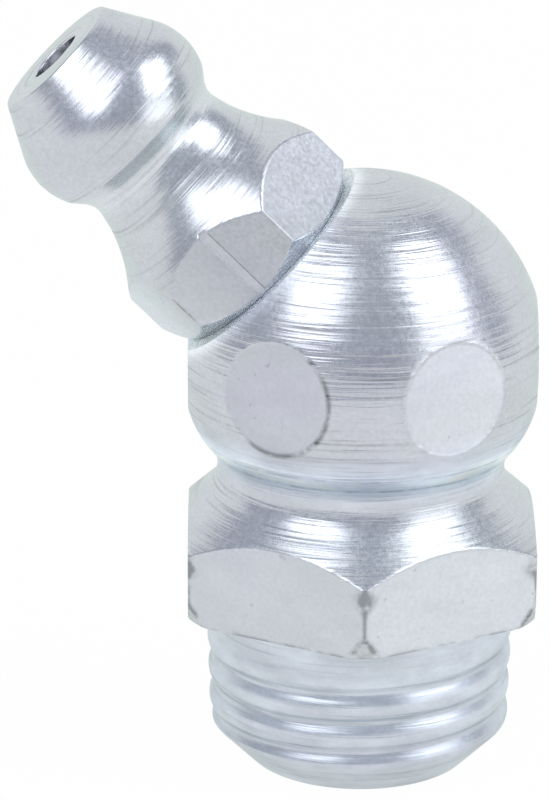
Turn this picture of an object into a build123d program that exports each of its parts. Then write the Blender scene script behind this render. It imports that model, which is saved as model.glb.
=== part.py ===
"""Angled grease nipple, 45 degrees, with an M10x1 taper thread.

The body is turned from hexagon bar: a threaded shank, the hexagon for the spanner and a
ball-shaped elbow that the bar's six flats cut into round facets. A coupling head with its own
small hexagon collar is pressed into a socket that meets the shank's passage at 45 degrees.
A steel ball closes the head's mouth from inside and a compression spring holds it there.

Millimetres. The origin is the centre of the hexagon's underside, +Z runs up the thread's axis,
and the head leans towards -X.
"""

import os
from math import cos, radians, sin, sqrt, tan

from build123d import *

# Hexagon bar and the chamfer under its corners
BAR_SIDES = 6
HEX_AF = 11.0
HEX_EDGE_R = 0.25
UNDERSIDE_INSET = 0.26
UNDERSIDE_CHAMFER_ANGLE = 70.0

# Turned shoulder above the hexagon and the round waist under the elbow
HEX_CORNER_HEIGHT = 2.3
SHOULDER_ANGLE = 42.0
WAIST_FILLET_R = 1.05

# Ball-shaped elbow: how far it stands out past the bar's flats, and its tighter foot
ELBOW_OVER_FLATS = 0.3
ELBOW_BALL_ANGLE = 20.0
ELBOW_FOOT_R = 3.1
ELBOW_FOOT_ANGLE = 42.0

# Taper-threaded shank: the blank has the size of the thread's crests
THREAD_CREST_D = 9.75
THREAD_TAPER = 1.0 / 16.0
SHANK_LENGTH = 5.5
GAUGE_FROM_END = 2.75
LEAD_IN = 1.29

# Grease passages in the body
PASSAGE_D = 3.2
DRILL_POINT_ANGLE = 118.0
CROSS_PASSAGE_D = 2.4

# Seat for the coupling head on the elbow
HEAD_ANGLE = 45.0
SEAT_RIM = 0.49
SOCKET_END_GAP = 0.4
PRESS_CLEARANCE = 0.0

# Coupling head from its mouth back to the collar
NOSE_LENGTH = 1.58
NOSE_ANGLE = 28.8
NOSE_STEP = 0.22
BALL_R = 3.2
BALL_FRONT = 0.75
BALL_BACK = 1.85
BALL_NECK_STEP = 0.74
FLARE_LENGTH = 2.28
FLARE_HOLLOW_R = 5.6
NECK_FILLET_R = 0.5

# Hexagon collar of the head, with the drawing mark along its front flat
COLLAR_AF = 7.0
COLLAR_EDGE_R = 0.12
COLLAR_HEIGHT = 2.86
COLLAR_TURN = -4.0
COLLAR_TOP_INSET = 0.12
COLLAR_TOP_ANGLE = 37.5
COLLAR_FOOT_INSET = 0.1
COLLAR_FOOT_ANGLE = 45.0
MARK_WIDTH = 0.3
MARK_DEPTH = 0.06
MARK_OFFSET = 0.15

# Plug of the head, pressed into the body, with the lip rolled in over the spring
PLUG_LENGTH = 3.2
PLUG_WALL = 1.05
PLUG_LEAD = 0.35
LIP_LENGTH = 0.35
LIP_WIDTH = 0.6

# Valve inside the head
VALVE_BALL_D = 2.5
BALL_SIDE_CLEARANCE = 0.2
BALL_SEAT_CLEARANCE = 0.02
VALVE_SEAT_ANGLE = 90.0
VALVE_SEAT_EDGE = 0.01
MOUTH_LAND = 0.5
SPRING_WIRE_D = 0.35
SPRING_WIRE_SIDES = 8
SPRING_TURNS = 6.0
SPRING_SIDE_CLEARANCE = 0.25
SPRING_END_CLEARANCE = 0.02

# How far the turned outlines run past the bars' corners, so that the flats trim them
OVERRUN = 0.1

# Radii and places worked out from the sizes above
HEX_FLAT_R = HEX_AF / 2
HALF_SIDE = radians(180 / BAR_SIDES)
HEX_CORNER_R = HEX_FLAT_R / cos(HALF_SIDE)
ELBOW_R = HEX_FLAT_R + ELBOW_OVER_FLATS
BALL_LEAN = radians(ELBOW_BALL_ANGLE)
BALL_LOW_R = ELBOW_R * cos(BALL_LEAN)
FOOT_LEAN = radians(ELBOW_FOOT_ANGLE)
FOOT_LOW_R = BALL_LOW_R - ELBOW_FOOT_R * (cos(BALL_LEAN) - cos(FOOT_LEAN))
WAIST_R = FOOT_LOW_R - WAIST_FILLET_R * (1 - cos(FOOT_LEAN))
SHOULDER_LEAN = radians(SHOULDER_ANGLE)
SHOULDER_TOP_R = WAIST_R + WAIST_FILLET_R * (1 - sin(SHOULDER_LEAN))
SHOULDER_TOP_Z = HEX_CORNER_HEIGHT + (HEX_CORNER_R - SHOULDER_TOP_R) * tan(SHOULDER_LEAN)
WAIST_Z = SHOULDER_TOP_Z + WAIST_FILLET_R * cos(SHOULDER_LEAN)
FOOT_LOW_Z = WAIST_Z + WAIST_FILLET_R * sin(FOOT_LEAN)
BALL_LOW_Z = FOOT_LOW_Z + ELBOW_FOOT_R * (sin(FOOT_LEAN) - sin(BALL_LEAN))
ELBOW_Z = BALL_LOW_Z + ELBOW_R * sin(BALL_LEAN)
VALVE_BORE_R = VALVE_BALL_D / 2 + BALL_SIDE_CLEARANCE
PLUG_R = VALVE_BORE_R + PLUG_WALL
COLLAR_FOOT_R = COLLAR_AF / 2 - COLLAR_FOOT_INSET
SEAT_DISTANCE = sqrt(ELBOW_R**2 - (COLLAR_FOOT_R + SEAT_RIM) ** 2)
NECK_HEIGHT = COLLAR_HEIGHT + FLARE_LENGTH
BALL_HEIGHT = NECK_HEIGHT + BALL_BACK
NOSE_HEIGHT = BALL_HEIGHT + BALL_FRONT
HEAD_HEIGHT = NOSE_HEIGHT + NOSE_LENGTH
SEAT_HALF_ANGLE = radians(VALVE_SEAT_ANGLE / 2)
MOUTH_R = VALVE_BALL_D / 2 * cos(SEAT_HALF_ANGLE) - VALVE_SEAT_EDGE
HEAD_LEAN = radians(HEAD_ANGLE)
HEAD_DIRECTION = Vector(-sin(HEAD_LEAN), 0, cos(HEAD_LEAN))
SEAT_CENTRE = Vector(0, 0, ELBOW_Z) + HEAD_DIRECTION * SEAT_DISTANCE
FROM_BASE = (Align.CENTER, Align.CENTER, Align.MIN)


def head_plane(height=0.0):
    """A plane square to the head's axis, this far up from its seat on the elbow."""
    origin = SEAT_CENTRE + HEAD_DIRECTION * height
    return Plane(origin=origin, x_dir=(0, -1, 0), z_dir=HEAD_DIRECTION)


def turned(section):
    """The section, drawn as radius and height, stood in the XZ plane and turned about Z."""
    return revolve(Plane.XZ * section, Axis.Z)


def hexagon_bar(across_flats, edge_radius, low, high):
    """Hexagon bar from low to high, two flats square to X, with slightly rounded edges."""
    section = RegularPolygon(across_flats / 2, BAR_SIDES, major_radius=False, rotation=30)
    section = fillet(section.vertices(), edge_radius)
    return Pos(0, 0, low) * extrude(section, high - low)


def crest_radius(from_end):
    """Radius over the crests of the taper thread, this far up from the shank's end."""
    return (THREAD_CREST_D + (from_end - GAUGE_FROM_END) * THREAD_TAPER) / 2


def body_section():
    """Half of the whole body's turned section, before the bar's flats and the bores."""
    end_z = -SHANK_LENGTH
    end_face_r = crest_radius(0) - LEAD_IN
    lead_in_height = LEAD_IN / (1 - THREAD_TAPER / 2)
    rim_r = HEX_CORNER_R + OVERRUN
    underside_r = HEX_CORNER_R - UNDERSIDE_INSET
    chamfer_z = (rim_r - underside_r) * tan(radians(UNDERSIDE_CHAMFER_ANGLE))
    rim_z = HEX_CORNER_HEIGHT - OVERRUN * tan(SHOULDER_LEAN)
    crown = (0, ELBOW_Z + ELBOW_R)

    below = Polyline(
        crown,
        (0, end_z),
        (end_face_r, end_z),
        (crest_radius(lead_in_height), end_z + lead_in_height),
        (crest_radius(SHANK_LENGTH), 0),
        (underside_r, 0),
        (rim_r, chamfer_z),
        (rim_r, rim_z),
        (SHOULDER_TOP_R, SHOULDER_TOP_Z),
    )
    waist = ThreePointArc(below @ 1, (WAIST_R, WAIST_Z), (FOOT_LOW_R, FOOT_LOW_Z))
    foot = TangentArc(waist @ 1, (BALL_LOW_R, BALL_LOW_Z), tangent=waist % 1)
    elbow = ThreePointArc(foot @ 1, (ELBOW_R, ELBOW_Z), crown)
    return make_face(below + waist + foot + elbow)


def shank_passage():
    """Drilled hole from the shank's end to the middle of the elbow."""
    end_z = -SHANK_LENGTH
    radius = PASSAGE_D / 2
    point = radius / tan(radians(DRILL_POINT_ANGLE / 2))
    hole = Polyline(
        (0, end_z),
        (radius, end_z),
        (radius, ELBOW_Z),
        (0, ELBOW_Z + point),
        close=True,
    )
    return turned(make_face(hole))


def build_body():
    """Hexagon body with its threaded shank, elbow, head seat, socket and passages."""
    bar = hexagon_bar(HEX_AF, HEX_EDGE_R, -SHANK_LENGTH, ELBOW_Z + ELBOW_R)
    spot_face = head_plane() * Cylinder(2 * ELBOW_R, 2 * ELBOW_R, align=FROM_BASE)
    socket_depth = PLUG_LENGTH + SOCKET_END_GAP
    socket = head_plane(-socket_depth) * Cylinder(PLUG_R, socket_depth, align=FROM_BASE)
    cross_passage = head_plane(-SEAT_DISTANCE) * Cylinder(
        CROSS_PASSAGE_D / 2, SEAT_DISTANCE, align=FROM_BASE
    )
    body = turned(body_section()) & bar
    return body - spot_face - socket - cross_passage - shank_passage()


def head_section():
    """Half of the head's turned section, radius against height over the seat."""
    rim_r = COLLAR_AF / 2 / cos(HALF_SIDE) + OVERRUN
    flare_r = COLLAR_AF / 2 - COLLAR_TOP_INSET
    top_drop = (rim_r - flare_r) / tan(radians(COLLAR_TOP_ANGLE))
    foot_rise = (rim_r - COLLAR_FOOT_R) * tan(radians(COLLAR_FOOT_ANGLE))
    plug_r = PLUG_R - PRESS_CLEARANCE
    lip_r = VALVE_BORE_R - LIP_WIDTH
    nose_r = BALL_R - NOSE_STEP
    tip_r = nose_r - NOSE_LENGTH * tan(radians(NOSE_ANGLE))
    cone_length = (VALVE_BORE_R - MOUTH_R) / tan(SEAT_HALF_ANGLE)
    land_end = HEAD_HEIGHT - MOUTH_LAND

    ball = ThreePointArc(
        (nose_r, NOSE_HEIGHT),
        (BALL_R, BALL_HEIGHT),
        (BALL_R - BALL_NECK_STEP, NECK_HEIGHT),
    )
    flare = RadiusArc(ball @ 1, (flare_r, COLLAR_HEIGHT), FLARE_HOLLOW_R)
    rest = Polyline(
        flare @ 1,
        (rim_r, COLLAR_HEIGHT - top_drop),
        (rim_r, foot_rise),
        (COLLAR_FOOT_R, 0),
        (plug_r, 0),
        (plug_r, PLUG_LEAD - PLUG_LENGTH),
        (plug_r - PLUG_LEAD, -PLUG_LENGTH),
        (lip_r, -PLUG_LENGTH),
        (lip_r, LIP_LENGTH - PLUG_LENGTH),
        (VALVE_BORE_R, LIP_LENGTH - PLUG_LENGTH),
        (VALVE_BORE_R, land_end - cone_length),
        (MOUTH_R, land_end),
        (MOUTH_R, HEAD_HEIGHT),
        (tip_r, HEAD_HEIGHT),
        ball @ 0,
    )
    section = make_face(ball + flare + rest)
    neck = section.vertices().sort_by_distance(ball @ 1)[0]
    return fillet(neck, NECK_FILLET_R)


def build_head():
    """Coupling head: tapered nose, ball, flared neck, hexagon collar and hollow plug."""
    bar = hexagon_bar(COLLAR_AF, COLLAR_EDGE_R, -PLUG_LENGTH, HEAD_HEIGHT)
    mark = Pos(COLLAR_AF / 2, MARK_OFFSET, 0) * Box(
        2 * MARK_DEPTH, MARK_WIDTH, COLLAR_HEIGHT, align=FROM_BASE
    )
    head = (turned(head_section()) & bar) - mark
    return head_plane() * Rot(0, 0, COLLAR_TURN) * head


def valve_ball_height():
    """Height of the closed valve ball's centre over the head's seat."""
    cone_apex = HEAD_HEIGHT - MOUTH_LAND + MOUTH_R / tan(SEAT_HALF_ANGLE)
    return cone_apex - VALVE_BALL_D / 2 / sin(SEAT_HALF_ANGLE) - BALL_SEAT_CLEARANCE


def build_valve_ball():
    """Steel ball that closes the head's mouth."""
    return head_plane(valve_ball_height()) * Sphere(VALVE_BALL_D / 2)


def build_valve_spring():
    """Compression spring from the rolled lip of the plug up to the valve ball."""
    wire_r = SPRING_WIRE_D / 2
    mean_r = VALVE_BORE_R - SPRING_SIDE_CLEARANCE - wire_r
    reach = VALVE_BALL_D / 2 + wire_r + SPRING_END_CLEARANCE
    top = valve_ball_height() - sqrt(reach**2 - mean_r**2)
    bottom = LIP_LENGTH - PLUG_LENGTH + wire_r + SPRING_END_CLEARANCE
    length = top - bottom
    coil = Helix(length / SPRING_TURNS, length, mean_r)
    wire = Plane(origin=coil @ 0, z_dir=coil % 0) * RegularPolygon(wire_r, SPRING_WIRE_SIDES)
    return head_plane(bottom) * sweep(wire, path=coil, is_frenet=True)


def main():
    os.makedirs("parts", exist_ok=True)
    pieces = {
        "body": build_body(),
        "coupling_head": build_head(),
        "valve_ball": build_valve_ball(),
        "valve_spring": build_valve_spring(),
    }
    for name, piece in pieces.items():
        export_step(piece, f"parts/{name}.step")


main()
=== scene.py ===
"""An angled grease nipple in bright zinc-plated steel, stood on its threaded end."""

from collections import namedtuple

import bmesh
import bpy
import numpy as np
from mathutils import Matrix, Vector


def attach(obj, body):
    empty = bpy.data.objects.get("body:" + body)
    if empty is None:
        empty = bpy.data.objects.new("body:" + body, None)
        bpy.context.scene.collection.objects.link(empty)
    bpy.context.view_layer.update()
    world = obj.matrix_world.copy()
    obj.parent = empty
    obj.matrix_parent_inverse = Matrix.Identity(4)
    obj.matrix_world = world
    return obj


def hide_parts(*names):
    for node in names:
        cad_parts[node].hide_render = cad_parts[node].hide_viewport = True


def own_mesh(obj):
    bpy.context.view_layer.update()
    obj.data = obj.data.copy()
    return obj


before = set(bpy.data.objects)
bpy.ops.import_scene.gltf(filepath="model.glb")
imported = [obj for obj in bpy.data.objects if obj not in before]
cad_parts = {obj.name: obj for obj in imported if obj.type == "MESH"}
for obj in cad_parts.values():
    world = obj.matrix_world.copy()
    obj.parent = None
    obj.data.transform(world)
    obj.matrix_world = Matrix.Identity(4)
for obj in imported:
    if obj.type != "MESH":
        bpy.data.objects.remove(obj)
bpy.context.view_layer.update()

# Sizes are in millimetres, and MM takes them to metres
MM = 0.001

# Hexagon bar: a flat faces angle 0, and angle -90 degrees is the front
SECTOR = np.pi / 3
HALF_SECTOR = np.pi / 6
FRONT = -np.pi / 2
HEX_FLAT = 5.5
HEX_EDGE = 0.25
HEX_CORNER_HEIGHT = 2.3
FLAT_RIM = 0.075

# Turned underside, shoulder and waist. The turned rim stands a little outside the bar's corners
TURNED_OVER = 0.12
UNDERSIDE_R = 6.09
UNDERSIDE_CHAMFER = np.radians(70)
SHOULDER_LEAN = np.radians(42)
WAIST_FILLET = 1.05

# Ball-shaped elbow
ELBOW_R = 5.8
BALL_LEAN = np.radians(20)
FOOT_R = 3.1
FOOT_LEAN = np.radians(42)
FACET_RIM = 0.03

# Shank, its M10x1 taper thread and the grease passage up it
SHANK = 5.5
CREST_R = 4.875
TAPER = 1 / 16
END_FACE_R = 3.5
PITCH = 1.0
THREAD_DEPTH = 0.18
THREAD_SHARPNESS = 0.3
THREAD_VALLEY_HEIGHT = -1.75
THREAD_STARTS = -0.7
THREAD_RUN_OUT = 0.7
CREST_ROUNDING = 0.08
PASSAGE_R = 1.6
DRILL_POINT = 0.96

# Seat and socket of the coupling head
SEAT_DISTANCE = 4.302
SEAT_BREAK = 0.03
SOCKET_R = 2.5
SOCKET_DEPTH = 3.6
CROSS_PASSAGE_R = 1.2
SOCKET_POINTS = 96

# Coupling head, heights from its seat. Its own angle 0 is the front
COLLAR_FLAT = 3.5
COLLAR_EDGE = 0.12
COLLAR_RIM = 0.05
COLLAR_OVER = 0.1
COLLAR_FOOT_R = COLLAR_FLAT - 0.1
COLLAR_HEIGHT = 2.86
COLLAR_TOP_LEAN = np.radians(37.5)
COLLAR_TURN = np.radians(-4)
FLARE_R = COLLAR_FLAT - 0.12
FLARE_HOLLOW_R = 5.6
BALL_R = 3.2
BALL_HEIGHT = 6.99
NECK_R = BALL_R - 0.74
NECK_HEIGHT = 5.14
NOSE_R = BALL_R - 0.22
NOSE_HEIGHT = 7.74
NOSE_LEAN = np.radians(28.8)
HEAD_HEIGHT = 9.32
MOUTH_R = 0.874
MOUTH_LAND = 0.5
PLUG = 3.2
PLUG_CHAMFER = 0.35
VALVE_BORE_R = 1.45
LIP_R = 0.85

# Mark rolled into the collar's front flat: where it starts and ends across it
MARK = (0.0, 0.3)
MARK_DEPTH = 0.05
MARK_WALL = 0.06

# Valve spring
WIRE_R = 0.175
WIRE_SIDES = 12
COIL_R = 1.025
COIL_TURNS = 6
COIL_STEPS = 40
COIL_FOOT = -2.655
COIL_TOP = 6.888

# Marks on the body, each a band's middle height and its reach to either side: traces of making and
# wear, a dark line at the foot, painted light in the waist and a painted dark reflection on the elbow
TOOL_RINGS = (5.06, 5.48, 6.89)
TOOL_RING_REACH = 0.035
DULL_BAND = (5.4, 1.0)
PAINTED_LIGHT_BAND = (5.3, 0.55)
PAINTED_DARK_REFLECTION_BAND = (9.2, 0.7)
STAIN_PATCH = (1.95, 0.3)
FOOT_LINE = (0.02, 0.05)
CHAMFER_TOP = 0.9

# The worn facet of the elbow, counted round from the one that faces +X
STAINED_FACET = 4

# Radii and heights of the body's turned forms, worked out from the hexagon up
CORNER_R = HEX_FLAT / np.cos(HALF_SECTOR)
FOOT_LOW_R = ELBOW_R * np.cos(BALL_LEAN) - FOOT_R * (np.cos(BALL_LEAN) - np.cos(FOOT_LEAN))
WAIST_R = FOOT_LOW_R - WAIST_FILLET * (1 - np.cos(FOOT_LEAN))
SHOULDER_TOP_R = WAIST_R + WAIST_FILLET * (1 - np.sin(SHOULDER_LEAN))
SHOULDER_TOP_Z = HEX_CORNER_HEIGHT + (CORNER_R - SHOULDER_TOP_R) * np.tan(SHOULDER_LEAN)
WAIST_Z = SHOULDER_TOP_Z + WAIST_FILLET * np.cos(SHOULDER_LEAN)
FOOT_LOW_Z = WAIST_Z + WAIST_FILLET * np.sin(FOOT_LEAN)
BALL_LOW_Z = FOOT_LOW_Z + FOOT_R * (np.sin(FOOT_LEAN) - np.sin(BALL_LEAN))
FOOT_CENTRE = (
    ELBOW_R * np.cos(BALL_LEAN) - FOOT_R * np.cos(BALL_LEAN),
    BALL_LOW_Z + FOOT_R * np.sin(BALL_LEAN),
)
ELBOW_Z = BALL_LOW_Z + ELBOW_R * np.sin(BALL_LEAN)
HEAD_DIRECTION = Vector((-1, 0, 1)).normalized()
SEAT_CENTRE = Vector((0, 0, ELBOW_Z)) + HEAD_DIRECTION * SEAT_DISTANCE

# Spacing of the meshes. Columns run from a flat's middle to its corner: (degrees, steps to there)
BODY_COLUMNS = ((16.9, 8), (19.1, 6), (28.6, 5), (30, 4))
HEAD_COLUMNS = ((5.6, 14), (28.6, 12), (30, 4))
ARC_SPACING = 0.02
SAMPLE_SPACING = 0.01
BEND_SHARE = 60
EDGE_NEARNESS = 0.8

# A soft corner's points, and how many times its reach each cut beside it has to be long
CORNER_POINTS = 9
CUT_FOR_REACH = 2.2

# Masks kept on the points of both skins, for their materials
MASKS = (
    "along",
    "flat_gap",
    "shaded_valley",
    "stain",
    "edge_stain",
    "tool_ring",
    "matte",
    "painted_light",
    "painted_dark_reflection",
    "mottled",
)

# One stretch of a turned outline, its rows in the mesh and how far they crowd at flats' edges
Stretch = namedtuple("Stretch", "path rows edge_share", defaults=[0])


def arc(centre, radius, start, end):
    """Points of an arc in the plane of radius and height, angles from straight out."""
    count = max(4, int(abs(end - start) * radius / ARC_SPACING))
    angles = np.linspace(start, end, count)
    out = centre[0] + radius * np.cos(angles)
    height = centre[1] + radius * np.sin(angles)
    return np.stack([out, height], 1)


def softened(corners, radius):
    """A run of straight cuts whose inner corners are rounded a little, as plating leaves them."""
    corners = np.array(corners, float)
    path = [corners[:1]]
    u = np.linspace(0, 1, CORNER_POINTS)[:, None]
    for before, corner, after in zip(corners, corners[1:], corners[2:]):
        back = before - corner
        on = after - corner
        back_length = np.linalg.norm(back)
        on_length = np.linalg.norm(on)
        reach = min(radius, back_length / CUT_FOR_REACH, on_length / CUT_FOR_REACH)
        start = corner + back * reach / back_length
        end = corner + on * reach / on_length
        path.append((1 - u) ** 2 * start + 2 * u * (1 - u) * corner + u**2 * end)
    path.append(corners[-1:])
    return np.concatenate(path)


def joined(outline):
    """All stretches of an outline as one path."""
    return np.concatenate([outline[0].path] + [stretch.path[1:] for stretch in outline[1:]])


def run_lengths(path):
    """Distance along a path at each of its points."""
    steps = np.linalg.norm(np.diff(path, axis=0), axis=1)
    return np.concatenate([[0], np.cumsum(steps)])


def soft_least(a, b, width):
    """The lesser of two radii, with their meeting edge rounded over this width."""
    blend = np.clip(1 - np.abs(a - b) / width, 0, 1)
    return np.minimum(a, b) - width * blend**2 / 4


def ramp(value, low, high):
    """0 up to the low limit, 1 from the high one on, and straight between them."""
    return np.clip((value - low) / (high - low), 0, 1)


def band(value, middle, reach, power=2):
    """1 in the middle of a band, going softly to 0 beyond its reach."""
    return np.exp(-(((value - middle) / reach) ** power))


def from_flat(angle):
    """Angle from the middle of the nearest flat of the bar."""
    return (angle + HALF_SECTOR) % SECTOR - HALF_SECTOR


def bar_radius(angle, flat, edge):
    """Reach of hexagon bar at this angle round it, edges rounded."""
    sector = np.abs(from_flat(angle))
    straight = flat / np.cos(sector)
    centre = (flat - edge) / np.cos(HALF_SECTOR)
    from_corner = HALF_SECTOR - sector
    rounded = centre * np.cos(from_corner) + np.sqrt(
        np.maximum(edge**2 - (centre * np.sin(from_corner)) ** 2, 0)
    )
    on_edge = straight * np.sin(sector) > (flat - edge) * np.tan(HALF_SECTOR)
    return np.where(on_edge, rounded, straight)


def column_angles(stops):
    """Angles of a mesh's columns all the way round, from the stops of half a flat."""
    half = [np.array([0.0])]
    last = 0.0
    for stop, steps in stops:
        half.append(np.linspace(last, stop, steps + 1)[1:])
        last = stop
    half = np.concatenate(half)
    sector = np.concatenate([-half[:0:-1], half[:-1]])
    return np.radians(np.concatenate([sector + 60 * k for k in range(6)]))


def body_outline():
    """The body's turned outline: up the passage's wall, then round the outside to the crown."""
    crest = CREST_R - (SHANK / 2) * TAPER / 2
    lead_in = (crest - END_FACE_R) / (1 - TAPER / 2)
    rim = CORNER_R + TURNED_OVER
    chamfer = (rim - UNDERSIDE_R) * np.tan(UNDERSIDE_CHAMFER)
    # Points on flat faces, where one stretch ends and the next begins
    on_end_face = (PASSAGE_R + 0.4, -SHANK)
    on_underside = (UNDERSIDE_R - 0.3, 0)
    waist = (WAIST_R + WAIST_FILLET, WAIST_Z)
    hollow = arc(waist, WAIST_FILLET, 1.5 * np.pi - SHOULDER_LEAN, np.pi - FOOT_LEAN)
    bore = softened(
        [
            (0, ELBOW_Z + DRILL_POINT),
            (PASSAGE_R, ELBOW_Z),
            (PASSAGE_R, -SHANK),
            on_end_face,
        ],
        radius=0.08,
    )
    shank = softened(
        [
            on_end_face,
            (END_FACE_R, -SHANK),
            (crest + lead_in * TAPER / 2, lead_in - SHANK),
            (CREST_R + (SHANK / 2) * TAPER / 2, 0),
            on_underside,
        ],
        radius=0.12,
    )
    hexagon = softened(
        [
            on_underside,
            (UNDERSIDE_R, 0),
            (rim, chamfer),
            (rim, HEX_CORNER_HEIGHT - TURNED_OVER * np.tan(SHOULDER_LEAN)),
            hollow[0],
        ],
        radius=0.05,
    )
    foot = arc(FOOT_CENTRE, FOOT_R, -FOOT_LEAN, -BALL_LEAN)
    facets = arc((0, ELBOW_Z), ELBOW_R, -BALL_LEAN, BALL_LEAN)
    crown = arc((0, ELBOW_Z), ELBOW_R, BALL_LEAN, np.pi / 2)
    return [
        Stretch(bore, rows=10),
        Stretch(shank, rows=105),
        Stretch(hexagon, rows=66, edge_share=10),
        Stretch(hollow, rows=14),
        Stretch(foot, rows=22),
        Stretch(facets, rows=100),
        Stretch(crown, rows=36),
    ]


def thread_valley(angle, radius, height):
    """How deep the thread is cut, from 0 on its crests to 1 at its bottom, running out below the
    hexagon.
    """
    turns = (height - THREAD_VALLEY_HEIGHT) / PITCH - (angle - FRONT) / (2 * np.pi)
    wave = 0.5 + 0.5 * np.cos(2 * np.pi * turns)
    shaded_valley = (1 - THREAD_SHARPNESS) * wave + THREAD_SHARPNESS * wave**3
    run_out = ramp(THREAD_STARTS - height, 0, THREAD_RUN_OUT)
    run_out = run_out * run_out * (3 - 2 * run_out)
    on_shank = (height < 0) & (radius > END_FACE_R - 0.02)
    return np.where(on_shank, shaded_valley * run_out, 0)


def body_skin(angle, radius, height):
    """The body's real radius where its turned outline has this one: thread and flats cut in."""
    bar = bar_radius(angle, HEX_FLAT, HEX_EDGE)
    crest = CREST_R + (height + SHANK / 2) * TAPER / 2
    shaded_valley = thread_valley(angle, radius, height)
    thread = np.where(height < 0, crest - THREAD_DEPTH * shaded_valley, np.inf)
    turned = soft_least(radius, thread, CREST_ROUNDING)
    rim = np.where(height > WAIST_Z, FACET_RIM, FLAT_RIM)
    skin = soft_least(turned, bar, rim)
    flat_gap = np.clip((turned - bar) / rim, -9, 9)
    outside = radius > PASSAGE_R + 1
    masks = body_shades(angle, height, skin, np.clip(flat_gap, 0, 1), outside)
    masks["flat_gap"] = flat_gap
    # The thread's depth also sets painted shade in its grooves
    masks["shaded_valley"] = shaded_valley
    masks["stain"] = corner_stain(angle, height, bar, flat_gap, outside)
    masks["edge_stain"] = edge_stain(angle, height)
    return skin, masks


def body_shades(angle, height, skin, on_flat, outside):
    """Where the body's zinc is dull, mottled and tool-ringed, with painted light and a painted dark
    reflection.
    """
    on_shank = outside & (height < -0.05)
    # Painted light: the flats are made paler, more so on the side facing +X, on the right
    facet_painted_light = 0.1 + 0.13 * np.cos(angle)
    hexagon_painted_light = 0.13 + 0.03 * np.cos(angle)
    flat_painted_light = np.where(height > WAIST_Z, facet_painted_light, hexagon_painted_light) * on_flat
    # Painted light in the hollow waist under the elbow, which lies in shade
    under_elbow_painted_light = 0.52 * band(height, *PAINTED_LIGHT_BAND) * outside
    # Painted light: the shank is made paler towards the hexagon and a little darker further down
    shank_painted_light = on_shank * (0.14 * ramp(height, -4.8, -3.0) - 0.05)
    # Painted light round the edge of the seat, in the collar's shade
    above_seat = (height - ELBOW_Z - skin * np.cos(angle)) / np.sqrt(2) - SEAT_DISTANCE
    seat_edge_painted_light = 0.5 * band(above_seat, 0, 0.2)
    # Painted dark reflection: a band on the elbow's front, facing the camera side, where the tool
    # scores are darkened
    facing_front = np.clip(-np.sin(angle), 0, 1)
    painted_dark_reflection = band(height, *PAINTED_DARK_REFLECTION_BAND, power=4) * facing_front**8
    rings = sum(band(height, ring, TOOL_RING_REACH) for ring in TOOL_RINGS)
    dull = band(height, *DULL_BAND, power=4) * outside
    return {
        "tool_ring": rings * (1 - on_flat) * outside,
        "matte": np.where(on_shank, 0.8, dull),
        "painted_light": flat_painted_light + under_elbow_painted_light + shank_painted_light + seat_edge_painted_light,
        "painted_dark_reflection": painted_dark_reflection * (1 - on_flat) * outside,
        "mottled": on_flat,
    }


def corner_stain(angle, height, bar, flat_gap, outside):
    """Where the hexagon is darkened: stains at its corners and their chamfers, and a dark line along
    its foot.
    """
    patch = band(height, *STAIN_PATCH)
    from_corner = (HALF_SECTOR - np.abs(from_flat(angle))) * bar
    corner = (1 + 0.4 * patch) * band(from_corner, 0, 0.06 + 0.25 * patch)
    corner = corner * (height > 0.65) * (height < HEX_CORNER_HEIGHT + 0.05)
    on_chamfer = (height > 0) & (height < CHAMFER_TOP) & (flat_gap < 0)
    chamfer = 0.4 * band(from_corner, 0, 0.45, power=4) * on_chamfer
    foot_line = 0.8 * band(height, *FOOT_LINE) * outside
    return np.maximum.reduce([corner, chamfer, foot_line])


def edge_stain(angle, height):
    """How much stain lies along the edges of flats: low on the hexagon and on one worn facet."""
    facet = np.round(angle / SECTOR) % 6
    lower_right = ramp(from_flat(angle) - 0.12 * (height - ELBOW_Z), 0, 0.03)
    on_facets = (height > WAIST_Z) * (0.12 + 1.1 * (facet == STAINED_FACET) * lower_right)
    on_hexagon = 1.3 * (height > 0) * (height < CHAMFER_TOP)
    return np.maximum(on_facets, on_hexagon)


def circle_through(first, second, third):
    """Arc through three points."""
    a, b, c = (np.array(p, float) for p in (first, second, third))
    rows = np.array([b - a, c - b]) * 2
    centre = np.linalg.solve(rows, [b @ b - a @ a, c @ c - b @ b])
    turn = [np.arctan2(*(p - centre)[::-1]) for p in (a, b, c)]
    return arc(centre, np.linalg.norm(a - centre), turn[0], turn[2])


def hollow_flare(first, second, radius):
    """The hollow flare between the neck and the collar."""
    a, b = np.array(first, float), np.array(second, float)
    half = (b - a) / 2
    across = np.array([-half[1], half[0]]) / np.linalg.norm(half)
    centre = (a + b) / 2 + across * np.sqrt(radius**2 - half @ half)
    turn = [np.arctan2(*(p - centre)[::-1]) % (2 * np.pi) for p in (a, b)]
    return arc(centre, radius, turn[0], turn[1])


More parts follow.
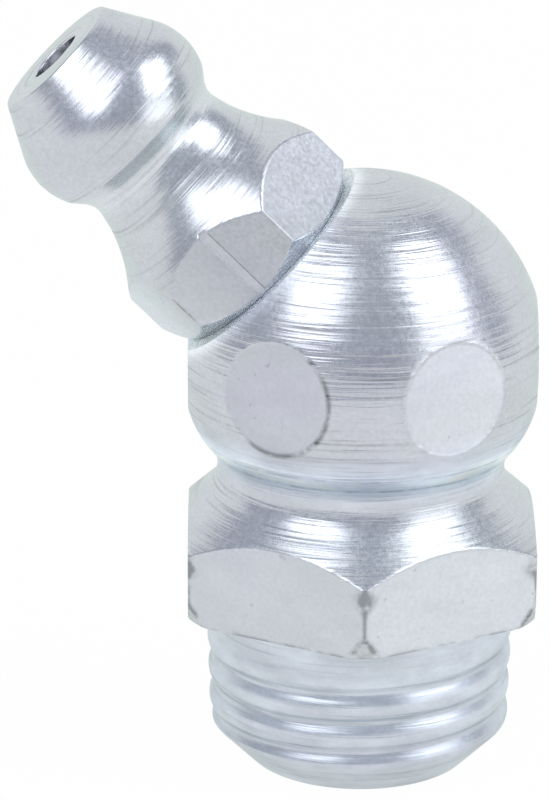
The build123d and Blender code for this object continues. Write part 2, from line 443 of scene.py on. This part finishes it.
def head_outline():
    """The head's turned outline: mouth, nose, ball, neck, collar, plug and bore."""
    rim = COLLAR_FLAT / np.cos(HALF_SECTOR) + COLLAR_OVER
    tip_r = NOSE_R - (HEAD_HEIGHT - NOSE_HEIGHT) * np.tan(NOSE_LEAN)
    top_drop = (rim - FLARE_R) / np.tan(COLLAR_TOP_LEAN)
    land = HEAD_HEIGHT - MOUTH_LAND
    lip_top = PLUG_CHAMFER - PLUG
    # Points where one stretch ends and the next begins
    in_mouth = (MOUTH_R, HEAD_HEIGHT - 0.25)
    on_seat = (SOCKET_R + 0.1, 0)
    neck_point = (NECK_R, NECK_HEIGHT)
    ball = circle_through((NOSE_R, NOSE_HEIGHT), (BALL_R, BALL_HEIGHT), neck_point)
    flare = hollow_flare(neck_point, (FLARE_R, COLLAR_HEIGHT), FLARE_HOLLOW_R)
    # Points of the arcs that go into the soft corners at the nose and at the neck
    at_nose, at_neck = 6, 44
    nose = softened(
        [
            in_mouth,
            (MOUTH_R, HEAD_HEIGHT),
            (tip_r, HEAD_HEIGHT),
            (NOSE_R, NOSE_HEIGHT),
            ball[at_nose],
        ],
        radius=0.08,
    )
    neck = np.concatenate(
        [
            ball[at_nose:-at_neck],
            softened([ball[-at_neck], ball[-1], flare[at_neck]], radius=1.0),
            flare[at_neck + 1 : -1],
        ]
    )
    collar = softened(
        [
            flare[-2],
            (FLARE_R, COLLAR_HEIGHT),
            (rim, COLLAR_HEIGHT - top_drop),
            (rim, rim - COLLAR_FOOT_R),
            (COLLAR_FOOT_R, 0),
            on_seat,
        ],
        radius=0.04,
    )
    plug = softened(
        [
            on_seat,
            (SOCKET_R, 0),
            (SOCKET_R, lip_top),
            (SOCKET_R - PLUG_CHAMFER, -PLUG),
            (LIP_R, -PLUG),
            (LIP_R, lip_top),
            (VALVE_BORE_R, lip_top),
            (VALVE_BORE_R, land - (VALVE_BORE_R - MOUTH_R)),
            (MOUTH_R, land),
            in_mouth,
        ],
        radius=0.04,
    )
    return [
        Stretch(nose, rows=60),
        Stretch(neck, rows=90),
        Stretch(collar, rows=80, edge_share=8),
        Stretch(plug, rows=36),
    ]


def head_skin(angle, radius, height):
    """The head's real radius where its turned outline has this one: collar flats and mark."""
    bar = bar_radius(angle, COLLAR_FLAT, COLLAR_EDGE)
    across = bar * np.sin(angle)
    middle = (MARK[0] + MARK[1]) / 2
    half = (MARK[1] - MARK[0]) / 2
    on_front_flat = np.cos(angle) > 0.8
    groove = np.clip((half - np.abs(across - middle)) / MARK_WALL + 0.5, 0, 1) * on_front_flat
    bar = bar - MARK_DEPTH * groove
    flat_gap = (radius - bar) / COLLAR_RIM
    on_flat = np.clip(flat_gap, 0, 1)
    # Painted shade on the walls of the mark's groove, heavier on one wall than the other
    shaded_groove_walls = 4 * groove * (1 - groove) * np.where(across < middle, 1.3, 0.6)
    lower_edge = band((np.sin(angle) + 0.5) * COLLAR_FLAT, 0, 0.035) * (np.cos(angle) > 0)
    facing_down = np.clip(-np.sin(angle), 0, 1)
    facing_front = np.clip(np.cos(angle), 0, 1)
    # Painted light: collar flats facing down are made paler and the front flat darker, and the
    # groove's floor paler
    flat_painted_light = 0.36 * facing_down - 0.12 * facing_front + 0.1 * groove
    # Painted light on the collar's underside, in the seat's shade
    underside_painted_light = 0.4 * (np.abs(height) < 0.5) * (1 - on_flat)
    # Painted light in the crease under the ball, where it is shaded
    under_ball_painted_light = 0.16 * band(height, NECK_HEIGHT, 0.45) * (radius > VALVE_BORE_R + 0.5)
    return soft_least(radius, bar, COLLAR_RIM), {
        "flat_gap": np.clip(flat_gap, -9, 9),
        "shaded_valley": shaded_groove_walls * on_flat,
        "stain": lower_edge * on_flat,
        "painted_light": flat_painted_light * on_flat + underside_painted_light + under_ball_painted_light,
        "mottled": on_flat * np.clip(np.sin(angle), 0, 1),
    }


def stations(outline, skin, angles):
    """Places along the outline for each angle, closer together at bends and at flats' edges."""
    found = []
    start = 0.0
    window = np.ones(9) / 9
    for stretch in outline:
        lengths = run_lengths(stretch.path)
        along = np.linspace(0, lengths[-1], int(lengths[-1] / SAMPLE_SPACING) + 2)
        radius = np.interp(along, lengths, stretch.path[:, 0])
        height = np.interp(along, lengths, stretch.path[:, 1])
        heading = np.unwrap(np.arctan2(np.gradient(height), np.gradient(radius)))
        bend = np.convolve(np.abs(np.gradient(heading)), window, "same")
        gaps = [skin(np.full_like(along, angle), radius, height)[1]["flat_gap"] for angle in angles]
        edges = band(np.array(gaps), 0, EDGE_NEARNESS)
        for _ in range(4):
            edges = (np.roll(edges, 1, 0) + 2 * edges + np.roll(edges, -1, 0)) / 4
        weights = 1 + BEND_SHARE * bend + stretch.edge_share * edges
        steps = np.linspace(0, 1, stretch.rows + 1)
        columns = []
        for weight in weights:
            total = np.concatenate([[0], np.cumsum((weight[1:] + weight[:-1]) / 2)])
            columns.append(np.interp(steps * total[-1], total, along))
        found.append(start + np.array(columns)[:, :-1])
        start += lengths[-1]
    found.append(np.full((len(angles), 1), start))
    return np.concatenate(found, 1)


def surface(path, skin, angle, along):
    """Points and masks of the finished surface."""
    lengths = run_lengths(path)
    radius = np.interp(along, lengths, path[:, 0])
    height = np.interp(along, lengths, path[:, 1])
    real, masks = skin(angle, radius, height)
    points = np.stack([real * np.cos(angle), real * np.sin(angle), height], -1)
    return points, masks


def surface_normals(path, skin, angle, along, points):
    """True directions of the surface, from its slopes along the outline and round it."""
    step_along, step_angle = 0.012, 0.002
    longest = run_lengths(path)[-1]
    before = surface(path, skin, angle, np.clip(along - step_along, 0, longest))[0]
    after = surface(path, skin, angle, np.clip(along + step_along, 0, longest))[0]
    left = surface(path, skin, angle - step_angle, along)[0]
    right = surface(path, skin, angle + step_angle, along)[0]
    normals = np.cross(right - left, after - before)
    size = np.linalg.norm(normals, axis=-1, keepdims=True)
    normals = normals / np.maximum(size, 1e-12)
    pole = np.hypot(points[..., 0], points[..., 1]) < 1e-4
    at_crown = points[pole][:, 2:] > ELBOW_Z + 2
    normals[pole] = np.where(at_crown, (0, 0, 1), (0, 0, -1))
    return normals


def made_mesh(name, outline, skin, angles, closed):
    """A skin over the turned outline, with its true normals and masks kept on its points."""
    along = stations(outline, skin, angles)
    rows = along.shape[1]
    path = joined(outline)
    angle = np.repeat(angles[:, None], rows, 1)
    points, masks = surface(path, skin, angle, along)
    normals = surface_normals(path, skin, angle, along, points)

    index = np.arange(len(angles) * rows).reshape(len(angles), rows)
    beside = np.roll(index, -1, axis=0)
    corners = [index[:, :-1], beside[:, :-1], beside[:, 1:], index[:, 1:]]
    quads = np.stack(corners, -1).reshape(-1, 4)
    if closed:
        closing = np.stack([index[:, -1], beside[:, -1], beside[:, 0], index[:, 0]], -1)
        quads = np.concatenate([quads, closing])
    mesh = bpy.data.meshes.new(name)
    mesh.from_pydata((points.reshape(-1, 3) * MM).tolist(), [], quads.tolist())
    keep(mesh, "true_normal", normals.reshape(-1, 3))
    masks["along"] = along
    for key in MASKS:
        keep(mesh, key, masks.get(key, np.zeros_like(along)).reshape(-1))
    return mesh


def keep(mesh, name, values):
    """Keeps a value or a direction for each point of the mesh."""
    vector = np.ndim(values) == 2
    layer = mesh.attributes.new(name, "FLOAT_VECTOR" if vector else "FLOAT", "POINT")
    layer.data.foreach_set("vector" if vector else "value", np.ravel(values).astype(np.float32))


def read_all(items, name, kind, width=1):
    """A value, or a row of this many, for each item of a mesh."""
    values = np.zeros(len(items) * width, kind)
    items.foreach_get(name, values)
    return values if width == 1 else values.reshape(-1, width)


def cut_seat(mesh):
    """Spot-faces the elbow for the head and opens the socket behind the seat."""
    bm = bmesh.new()
    bm.from_mesh(mesh)
    bmesh.ops.remove_doubles(bm, verts=bm.verts, dist=1e-7)
    centre = SEAT_CENTRE * MM
    cut = bmesh.ops.bisect_plane(
        bm,
        geom=bm.verts[:] + bm.edges[:] + bm.faces[:],
        dist=1e-8,
        plane_co=centre,
        plane_no=HEAD_DIRECTION,
        clear_outer=True,
    )
    rim = [e for e in cut["geom_cut"] if isinstance(e, bmesh.types.BMEdge) and e.is_boundary]
    across = Vector((0, 1, 0))
    up = HEAD_DIRECTION.cross(across)
    rings = []
    for radius, depth in (
        (SOCKET_R + SEAT_BREAK, 0),
        (SOCKET_R, SEAT_BREAK),
        (SOCKET_R, SOCKET_DEPTH),
        (CROSS_PASSAGE_R, SOCKET_DEPTH),
        (CROSS_PASSAGE_R, SEAT_DISTANCE),
    ):
        ring = []
        for k in range(SOCKET_POINTS):
            turn = 2 * np.pi * k / SOCKET_POINTS
            out = across * float(np.cos(turn)) + up * float(np.sin(turn))
            ring.append(bm.verts.new(centre + (out * radius - HEAD_DIRECTION * depth) * MM))
        rings.append([bm.edges.new((a, b)) for a, b in zip(ring, ring[1:] + ring[:1])])
    for outer, inner in zip([rim] + rings, rings):
        made = bmesh.ops.bridge_loops(bm, edges=outer + inner)
        for face in made["faces"]:
            face.material_index = 1
    bm.to_mesh(mesh)
    bm.free()


def finish_mesh(mesh, name, where):
    """Shades the skin by its true normals and stands it as an object, its place in its mesh.

    Faces of the seat and socket have material index 1 until here, and are shaded flat."""
    mesh.validate()
    vertex = read_all(mesh.loops, "vertex_index", np.int32)
    true = read_all(mesh.attributes["true_normal"].data, "vector", np.float32, 3)
    mesh.transform(where)
    normals = true[vertex] @ np.array(where.to_3x3()).T
    flat = read_all(mesh.polygons, "normal", np.float32, 3)
    slots = read_all(mesh.polygons, "material_index", np.int32)
    corners = read_all(mesh.polygons, "loop_total", np.int32)
    face = np.repeat(np.arange(len(mesh.polygons)), corners)
    cut = (slots[face] == 1) | (np.linalg.norm(normals, axis=1) < 0.5)
    normals[cut] = flat[face][cut]
    mesh.polygons.foreach_set("use_smooth", np.ones(len(mesh.polygons), bool))
    mesh.polygons.foreach_set("material_index", np.zeros(len(mesh.polygons), np.int32))
    mesh.normals_split_custom_set(normals.tolist())
    mesh.attributes.remove(mesh.attributes["true_normal"])
    return stand(name, mesh)


def stand(name, data):
    """Stands a mesh, lamp or lens in the scene."""
    item = bpy.data.objects.new(name, data)
    bpy.context.scene.collection.objects.link(item)
    return item


def head_matrix():
    """Where the head stands: its own Z along the slanted axis, its X towards the front."""
    across = Vector((0, -1, 0))
    up = HEAD_DIRECTION.cross(across)
    turned = Matrix((across, up, HEAD_DIRECTION)).transposed().to_4x4()
    return Matrix.Translation(SEAT_CENTRE * MM) @ turned @ Matrix.Rotation(COLLAR_TURN, 4, "Z")


def make_body():
    """Hexagon, ball-shaped elbow and threaded shank in one piece."""
    angles = column_angles(BODY_COLUMNS)
    mesh = made_mesh("nipple_body", body_outline(), body_skin, angles, closed=False)
    cut_seat(mesh)
    piece = finish_mesh(mesh, "nipple_body", Matrix())
    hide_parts("body")
    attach(piece, "nipple")
    return piece


def make_head():
    """Coupling head with its hexagon collar, pressed into the elbow."""
    angles = column_angles(HEAD_COLUMNS)
    mesh = made_mesh("coupling_nose", head_outline(), head_skin, angles, closed=True)
    piece = finish_mesh(mesh, "coupling_nose", head_matrix())
    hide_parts("coupling_head")
    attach(piece, "nipple")
    return piece


def make_spring():
    """Valve spring coiled from the plug's lip up to the valve ball."""
    steps = COIL_TURNS * COIL_STEPS
    turn = np.linspace(0, 2 * np.pi * COIL_TURNS, steps + 1)
    rise = np.linspace(COIL_FOOT, COIL_TOP, steps + 1)
    centre = np.stack([COIL_R * np.cos(turn), COIL_R * np.sin(turn), rise], 1)
    out = np.stack([np.cos(turn), np.sin(turn), 0 * turn], 1)
    up = np.array([0.0, 0.0, 1.0])
    around = np.linspace(0, 2 * np.pi, WIRE_SIDES, endpoint=False)
    points = (
        centre[:, None]
        + WIRE_R * np.cos(around)[None, :, None] * out[:, None]
        + WIRE_R * np.sin(around)[None, :, None] * up
    )
    index = np.arange(points.shape[0] * WIRE_SIDES).reshape(-1, WIRE_SIDES)
    beside = np.roll(index, -1, axis=1)
    quads = np.stack([index[:-1], index[1:], beside[1:], beside[:-1]], -1).reshape(-1, 4)
    faces = quads.tolist() + [index[0].tolist(), index[-1][::-1].tolist()]
    mesh = bpy.data.meshes.new("valve_coil")
    mesh.from_pydata((points.reshape(-1, 3) * MM).tolist(), [], faces)
    mesh.polygons.foreach_set("use_smooth", np.ones(len(mesh.polygons), bool))
    mesh.transform(head_matrix())
    piece = stand("valve_coil", mesh)
    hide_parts("valve_spring")
    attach(piece, "nipple")
    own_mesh(piece)
    return piece


# Colours of passivated zinc: its base and its lilac, green and dull blue clouds
ZINC_BASE = (0.615, 0.645, 0.685, 1)
ZINC_LILAC = (0.62, 0.635, 0.70, 1)
ZINC_GREEN = (0.60, 0.65, 0.66, 1)
ZINC_DULL = (0.595, 0.655, 0.75, 1)
ZINC_GLANCE = (0.88, 0.94, 0.90, 1)

# How strongly each trace shows in the zinc of the two turned pieces, and how dark the painted shade
# in grooves is
BODY_FINISH = {
    "fineness": 1.0,
    "mottle": 0.14,
    "flat_mottle": 0.1,
    "shaded_valley": 0.08,
    "stain": 0.5,
    "ring_stain": 0.35,
    "score": 0.17,
    "roughness": 0.27,
    "flat_roughness": 0.46,
    "blotch": 0.03,
    "dull_blotch": 0.11,
    "ring_depth": 1.0,
    "skin_depth": 0.15,
    "pit_depth": 0.3,
}
HEAD_FINISH = BODY_FINISH | {
    "fineness": 1.35,
    "flat_mottle": 0.36,
    "shaded_valley": 0.35,
    "score": 0.12,
    "roughness": 0.26,
    "ring_depth": 0.3,
}

# Bare steels of the hidden valve parts: colour and roughness
SPRING_STEEL = ((0.5, 0.51, 0.53), 0.35)
BALL_STEEL = ((0.26, 0.26, 0.28), 0.2)

# Kinds of socket of the shared effects
FLOAT = "NodeSocketFloat"
COLOUR = "NodeSocketColor"
VECTOR = "NodeSocketVector"


def place(tree, kind, inputs=None, **settings):
    """Adds a node, sets it up and feeds its inputs with values or other nodes' outputs."""
    node = tree.nodes.new(kind)
    for key, value in settings.items():
        setattr(node, key, value)
    for key, value in (inputs or {}).items():
        if isinstance(value, bpy.types.NodeSocket):
            tree.links.new(value, node.inputs[key])
        else:
            node.inputs[key].default_value = value
    return node


def maths(tree, operation, a, b=0.0, clamp=False):
    """Result of one sum."""
    node = place(tree, "ShaderNodeMath", {0: a, 1: b}, operation=operation, use_clamp=clamp)
    return node.outputs[0]


def product(tree, first, *others):
    """All of these multiplied."""
    for other in others:
        first = maths(tree, "MULTIPLY", first, other)
    return first


def total(tree, first, *others):
    """All of these added up."""
    for other in others:
        first = maths(tree, "ADD", first, other)
    return first


def noise(tree, vector, scale, detail=2.0, roughness=0.5):
    """Fine random variation from 0 to 1."""
    feeds = {"Vector": vector, "Scale": scale, "Detail": detail, "Roughness": roughness}
    return place(tree, "ShaderNodeTexNoise", feeds).outputs["Fac"]


def between(tree, value, low, high, low_out=0.0, high_out=1.0):
    """Spreads a value between two limits onto another two."""
    feeds = {"Value": value, "From Min": low, "From Max": high, "To Min": low_out, "To Max": high_out}
    return place(tree, "ShaderNodeMapRange", feeds).outputs["Result"]


def scaled(tree, vector, scale):
    """A vector or a colour times a number."""
    node = place(tree, "ShaderNodeVectorMath", {0: vector, "Scale": scale}, operation="SCALE")
    return node.outputs[0]


def blended(tree, share, first, second):
    """One colour going over into another."""
    node = place(tree, "ShaderNodeMix", {"Factor": share, 6: first, 7: second}, data_type="RGBA")
    return node.outputs[2]


def bumped(tree, layers):
    """Direction of a surface with these layers of bumps: (height, strength, distance)."""
    feeds = {}
    for height, strength, distance in layers:
        feeds |= {"Height": height, "Strength": strength, "Distance": distance}
        feeds["Normal"] = place(tree, "ShaderNodeBump", feeds).outputs[0]
    return feeds["Normal"]


def start_effect(name, inputs, outputs):
    """Starts a shared effect with named inputs and outputs."""
    group = bpy.data.node_groups.new(name, "ShaderNodeTree")
    for key, (kind, value) in inputs.items():
        socket = group.interface.new_socket(key, in_out="INPUT", socket_type=kind)
        if value is not None:
            socket.default_value = value
    for key, kind in outputs.items():
        group.interface.new_socket(key, in_out="OUTPUT", socket_type=kind)
    return group, group.nodes.new("NodeGroupInput").outputs


def finish_effect(group, results):
    """Puts a shared effect's results out."""
    place(group, "NodeGroupOutput", results)
    return group


def shared(tree, group, feeds):
    """Places a shared effect and feeds its named inputs."""
    return place(tree, "ShaderNodeGroup", feeds, node_tree=group).outputs


def turning_marks():
    """Rings that a turning tool leaves: fine and coarse ones, and rows of short scores."""
    group, given = start_effect(
        "turning_marks",
        {"Along": (FLOAT, 0.0), "Position": (VECTOR, None), "Fineness": (FLOAT, 1.0)},
        {"Height": FLOAT, "Score": FLOAT},
    )
    spread = scaled(group, given["Position"], 34.0)
    along = product(group, given["Along"], given["Fineness"])
    ring = place(group, "ShaderNodeCombineXYZ", {"Z": along}).outputs[0]
    vector = place(group, "ShaderNodeVectorMath", {0: spread, 1: ring}, operation="ADD").outputs[0]
    fine = product(group, noise(group, vector, 9.0, 2.0, 0.6), 0.8)
    coarse = noise(group, vector, 3.4, 1.0)
    score = between(group, noise(group, vector, 7.0, 1.0), 0.58, 0.74)
    height = maths(group, "SUBTRACT", total(group, fine, coarse), product(group, score, 0.35))
    return finish_effect(group, {"Height": height, "Score": score})


def plating_cloud():
    """The faint lilac, blue and green of passivated zinc, in soft clouds and fine mottling."""
    group, given = start_effect(
        "plating_cloud",
        {
            "Position": (VECTOR, None),
            "Base": (COLOUR, ZINC_BASE),
            "Lilac": (COLOUR, ZINC_LILAC),
            "Green": (COLOUR, ZINC_GREEN),
            "Mottle": (FLOAT, 0.3),
        },
        {"Colour": COLOUR, "Mottle": FLOAT, "Blotch": FLOAT},
    )
    position = given["Position"]
    lilac_cloud = between(group, noise(group, position, 230.0, 3.0, 0.6), 0.42, 0.62)
    green_drift = between(group, noise(group, position, 120.0), 0.48, 0.64, 0.0, 0.6)
    colour = blended(group, lilac_cloud, given["Base"], given["Lilac"])
    colour = blended(group, green_drift, colour, given["Green"])
    speck = noise(group, position, 7000.0, 2.0, 0.6)
    fleck = between(group, speck, 0.3, 0.7, -0.5, 0.5)
    shade = total(group, product(group, fleck, given["Mottle"]), 1.0)
    flattened = {"Vector": position, "Scale": (0.6, 0.6, 1.3)}
    wide = place(group, "ShaderNodeMapping", flattened).outputs[0]
    blotch = between(group, noise(group, wide, 750.0, 3.0, 0.65), 0.36, 0.64, -1.0, 1.0)
    colour = scaled(group, colour, shade)
    return finish_effect(group, {"Colour": colour, "Mottle": speck, "Blotch": blotch})


def bar_skin():
    """The duller skin of drawn hexagon bar: shallow pits, and a few dark specks."""
    group, given = start_effect(
        "bar_skin",
        {"Position": (VECTOR, None)},
        {"Height": FLOAT, "Speck": FLOAT},
    )
    position = given["Position"]
    pits = between(group, noise(group, position, 7500.0, 2.0, 0.6), 0.3, 0.62)
    waves = product(group, noise(group, position, 900.0), 0.8)
    dots = between(group, noise(group, position, 3600.0, 1.0), 0.70, 0.78)
    patches = between(group, noise(group, position, 420.0, 1.0), 0.45, 0.65)
    height = total(group, pits, waves)
    return finish_effect(group, {"Height": height, "Speck": product(group, dots, patches)})


def broken_stain():
    """Dark stain along an edge, broken up so that it comes and goes."""
    group, given = start_effect(
        "broken_stain",
        {"Position": (VECTOR, None), "Where": (FLOAT, 0.0)},
        {"Stain": FLOAT},
    )
    gaps = between(group, noise(group, given["Position"], 1500.0, 3.0, 0.6), 0.38, 0.56)
    stain = maths(group, "MULTIPLY", given["Where"], gaps, clamp=True)
    return finish_effect(group, {"Stain": stain})


def bare_metal(name):
    """Starts a metal's material: itself, its nodes, its shader and the place on the piece."""
    material = bpy.data.materials.new(name)
    material.use_nodes = True
    tree = material.node_tree
    principled = tree.nodes["Principled BSDF"]
    principled.inputs["Metallic"].default_value = 1.0
    position = place(tree, "ShaderNodeTexCoord").outputs["Object"]
    return material, tree, principled, position


def stained(tree, effects, position, where):
    """Broken stain where this mask lies."""
    return shared(tree, effects["broken_stain"], {"Position": position, "Where": where})["Stain"]


def zinc_plate(name, effects, finish):
    """Bright zinc over turned steel and over the bar's duller drawn flats."""
    material, tree, principled, position = bare_metal(name)
    principled.inputs["Specular Tint"].default_value = ZINC_GLANCE
    kept = {
        key: place(tree, "ShaderNodeAttribute", attribute_name=key).outputs["Fac"]
        for key in MASKS
    }
    along = {"Along": kept["along"], "Position": position, "Fineness": finish["fineness"]}
    rings = shared(tree, effects["turning_marks"], along)
    mottle = between(tree, kept["mottled"], 0, 1, finish["mottle"], finish["flat_mottle"])
    cloud = shared(tree, effects["plating_cloud"], {"Position": position, "Mottle": mottle})
    skin = shared(tree, effects["bar_skin"], {"Position": position})

    on_flat = maths(tree, "MULTIPLY", kept["flat_gap"], 1.0, clamp=True)
    ring_share = between(tree, kept["matte"], 0, 1, 1.0, 0.55)
    turned = product(tree, maths(tree, "SUBTRACT", 1.0, on_flat), ring_share)
    scored = product(tree, rings["Score"], turned)
    # Painted dark reflection in the tool scores on the elbow's front
    painted_dark_reflection = product(tree, between(tree, rings["Score"], 0, 1, 0.08, 0.3), kept["painted_dark_reflection"])
    near_edge = between(tree, maths(tree, "ABSOLUTE", kept["flat_gap"]), 0.0, 1.4, 1.0, 0.0)
    along_edge = product(tree, kept["edge_stain"], near_edge)
    edge_stain = stained(tree, effects, position, maths(tree, "MAXIMUM", kept["stain"], along_edge))
    ring_stain = stained(tree, effects, position, kept["tool_ring"])
    # Darkening: real tool scores, stains and specks, with painted shade in the thread's grooves and
    # the mark's groove walls, and a painted dark reflection on the elbow's front
    dark = total(
        tree,
        product(tree, scored, finish["score"]),
        painted_dark_reflection,
        product(tree, kept["shaded_valley"], finish["shaded_valley"]),
        product(tree, edge_stain, finish["stain"]),
        product(tree, ring_stain, finish["ring_stain"]),
        product(tree, skin["Speck"], on_flat, 0.3),
    )
    blotch = between(tree, kept["matte"], 0, 1, finish["blotch"], finish["dull_blotch"])
    blotch = product(tree, cloud["Blotch"], blotch)
    # Painted light, kept on the points, lightens the colour; random blotches vary it
    shade = product(
        tree,
        maths(tree, "SUBTRACT", 1.0, dark, clamp=True),
        total(tree, kept["painted_light"], 1.0),
        total(tree, blotch, 1.0),
    )
    colour = blended(tree, product(tree, kept["matte"], 0.6), cloud["Colour"], ZINC_DULL)
    tree.links.new(scaled(tree, colour, shade), principled.inputs["Base Color"])

    rough = total(
        tree,
        product(tree, on_flat, finish["flat_roughness"] - finish["roughness"]),
        finish["roughness"],
        between(tree, cloud["Mottle"], 0.3, 0.7, -0.04, 0.04),
        product(tree, kept["matte"], 0.12),
        product(tree, scored, 0.12),
    )
    tree.links.new(rough, principled.inputs["Roughness"])

    layers = [
        (product(tree, rings["Height"], turned), finish["ring_depth"], 0.03 * MM),
        (product(tree, skin["Height"], on_flat), finish["skin_depth"], 0.012 * MM),
        (cloud["Mottle"], finish["pit_depth"], 0.006 * MM),
    ]
    tree.links.new(bumped(tree, layers), principled.inputs["Normal"])
    return material


def plain_steel(name, effects, colour, roughness):
    """Bare steel of the hidden valve parts."""
    material, tree, principled, position = bare_metal(name)
    feeds = {"Position": position, "Mottle": 0.1}
    for key, share in (("Base", 1.0), ("Lilac", 0.9), ("Green", 0.95)):
        feeds[key] = [c * share for c in colour] + [1]
    cloud = shared(tree, effects["plating_cloud"], feeds)
    rough = between(tree, cloud["Mottle"], 0.3, 0.7, roughness - 0.05, roughness + 0.05)
    tree.links.new(cloud["Colour"], principled.inputs["Base Color"])
    tree.links.new(rough, principled.inputs["Roughness"])
    normal = bumped(tree, [(cloud["Mottle"], 0.2, 0.01 * MM)])
    tree.links.new(normal, principled.inputs["Normal"])
    return material


def white_surface(name, share):
    """Paper that the camera and the metal see as white by this share, the rest as it is lit."""
    material = bpy.data.materials.new(name)
    material.use_nodes = True
    tree = material.node_tree
    tree.nodes.clear()
    paper = place(tree, "ShaderNodeBsdfDiffuse", {"Color": (0.9, 0.9, 0.9, 1)})
    white = place(tree, "ShaderNodeEmission", {"Color": (1, 1, 1, 1), "Strength": 1.0})
    path = place(tree, "ShaderNodeLightPath").outputs
    seen = maths(tree, "MAXIMUM", path["Is Camera Ray"], path["Is Glossy Ray"])
    seen = maths(tree, "MAXIMUM", seen, path["Is Transmission Ray"])
    feeds = {0: product(tree, seen, share), 1: paper.outputs[0], 2: white.outputs[0]}
    mixed = place(tree, "ShaderNodeMixShader", feeds)
    place(tree, "ShaderNodeOutputMaterial", {"Surface": mixed.outputs[0]})
    return material


def studio_piece(name, points, faces, material):
    """Stands a piece of the studio, which isn't part of the nipple."""
    mesh = bpy.data.meshes.new(name)
    mesh.from_pydata(points, [], faces)
    mesh.materials.append(material)
    piece = stand(name, mesh)


# Studio, in metres: the table's half width, and the backdrop's radius and height. It rises and
# gets a roof at the back, which begins and is complete at these shares of the way to the back
TABLE_HALF = 1.5
BACKDROP_R = 0.6
BACKDROP_HEIGHT = 0.38
BACKDROP_RISE = 0.5
ROOF_RISE = 0.8
ROOF_REACH = 0.45
BACKDROP_TURNS = (17, 165)
BACKDROP_STEPS = 60
BACK = (0.8, 0.95)


def studio():
    """White table with the nipple's soft shadow, and a white backdrop round the back."""
    half = TABLE_HALF
    low = -SHANK * MM
    corners = [(-half, -half, low), (half, -half, low), (half, half, low), (-half, half, low)]
    studio_piece("table_top", corners, [(0, 1, 2, 3)], white_surface("white_table", 0.98))
    points = []
    for turn in np.radians(np.linspace(*BACKDROP_TURNS, BACKDROP_STEPS + 1)):
        out = np.array([np.cos(turn), np.sin(turn)])
        at_back = ramp(out[1], *BACK)
        points.append((*(BACKDROP_R * out), low))
        points.append((*(BACKDROP_R * out), BACKDROP_HEIGHT + BACKDROP_RISE * at_back))
        roof = (BACKDROP_R - ROOF_REACH * at_back) * out
        points.append((*roof, BACKDROP_HEIGHT + ROOF_RISE * at_back))
    faces = []
    for step in range(BACKDROP_STEPS):
        for k in (3 * step, 3 * step + 1):
            faces.append((k, k + 1, k + 4, k + 3))
    studio_piece("backdrop", points, faces, white_surface("white_backdrop", 1.0))


# Soft lamps: azimuth and elevation in degrees, width and height in metres, and strength.
# Azimuth 0 is the camera's side, + to the right
SOFTBOXES = {
    "left_softbox": (-43.6, 47.1, 0.17, 0.27, 1.9),
    "right_softbox": (68.5, 46.9, 0.17, 0.24, 2.55),
    "right_fill": (58, 8, 0.24, 0.12, 1.2),
}
SOFTBOX_DISTANCE = 0.3
VIEW_UP = Vector((0, 0.322, 0.947))
ROOM_COLOUR = (0.84, 0.89, 1.0, 1)
ROOM_STRENGTH = 0.56


def towards(azimuth, elevation):
    """Direction out to an azimuth and elevation, in radians."""
    level = np.cos(elevation)
    return Vector((np.sin(azimuth) * level, -np.cos(azimuth) * level, np.sin(elevation)))


def softbox(name, azimuth, elevation, width, height, strength):
    """A soft lamp that faces the elbow."""
    away = towards(*np.radians([azimuth, elevation]))
    up = (VIEW_UP - away * VIEW_UP.dot(away)).normalized()
    lamp = bpy.data.lights.new(name, "AREA")
    lamp.shape = "RECTANGLE"
    lamp.size = width
    lamp.size_y = height
    lamp.energy = strength * np.pi * width * height
    box = stand(name, lamp)
    box.location = Vector((0, 0, ELBOW_Z)) * MM + away * SOFTBOX_DISTANCE
    box.rotation_euler = Matrix((up.cross(away), up, away)).transposed().to_euler()


def light_table():
    """Two soft boxes and a low fill round the camera, in a light bluish room."""
    for name, setting in SOFTBOXES.items():
        softbox(name, *setting)
    world = bpy.data.worlds.new("studio")
    world.use_nodes = True
    background = world.node_tree.nodes["Background"]
    background.inputs["Color"].default_value = ROOM_COLOUR
    background.inputs["Strength"].default_value = ROOM_STRENGTH
    bpy.context.scene.world = world


# Camera: azimuth, elevation and roll in degrees, what it looks at, its distance in metres,
# and its focal length in pixels of the picture, which is 800 high
CAMERA_ANGLES = (-0.505, 18.797, 0.244)
CAMERA_TARGET = Vector((-2.763, 0, 6.429))
CAMERA_DISTANCE = 0.160
FOCAL_PIXELS = 5037.77
PICTURE_HEIGHT = 800
SENSOR = 36.0


def set_camera():
    """The photograph's view: a little from above, square to the hexagon's front edge."""
    azimuth, elevation, roll = np.radians(CAMERA_ANGLES)
    away = towards(azimuth, elevation)
    lens = bpy.data.cameras.new("camera")
    lens.sensor_width = SENSOR
    lens.sensor_fit = "AUTO"
    lens.lens = FOCAL_PIXELS / PICTURE_HEIGHT * SENSOR
    lens.clip_start = 0.01
    lens.clip_end = 10
    camera = stand("camera", lens)
    camera.location = CAMERA_TARGET * MM + away * CAMERA_DISTANCE
    turn = away.to_track_quat("Z", "Y").to_matrix().to_4x4()
    camera.rotation_euler = (turn @ Matrix.Rotation(roll, 4, "Z")).to_euler()
    bpy.context.scene.camera = camera


def main():
    """Makes the nipple, its materials and the studio round it."""
    effects = {
        "turning_marks": turning_marks(),
        "plating_cloud": plating_cloud(),
        "bar_skin": bar_skin(),
        "broken_stain": broken_stain(),
    }
    make_body().data.materials.append(zinc_plate("body_zinc", effects, BODY_FINISH))
    make_head().data.materials.append(zinc_plate("head_zinc", effects, HEAD_FINISH))
    make_spring().data.materials.append(plain_steel("spring_steel", effects, *SPRING_STEEL))
    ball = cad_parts["valve_ball"]
    ball.data.materials.clear()
    ball.data.materials.append(plain_steel("ball_steel", effects, *BALL_STEEL))

    studio()
    light_table()
    set_camera()
    bpy.context.scene.view_settings.view_transform = "Standard"


main()
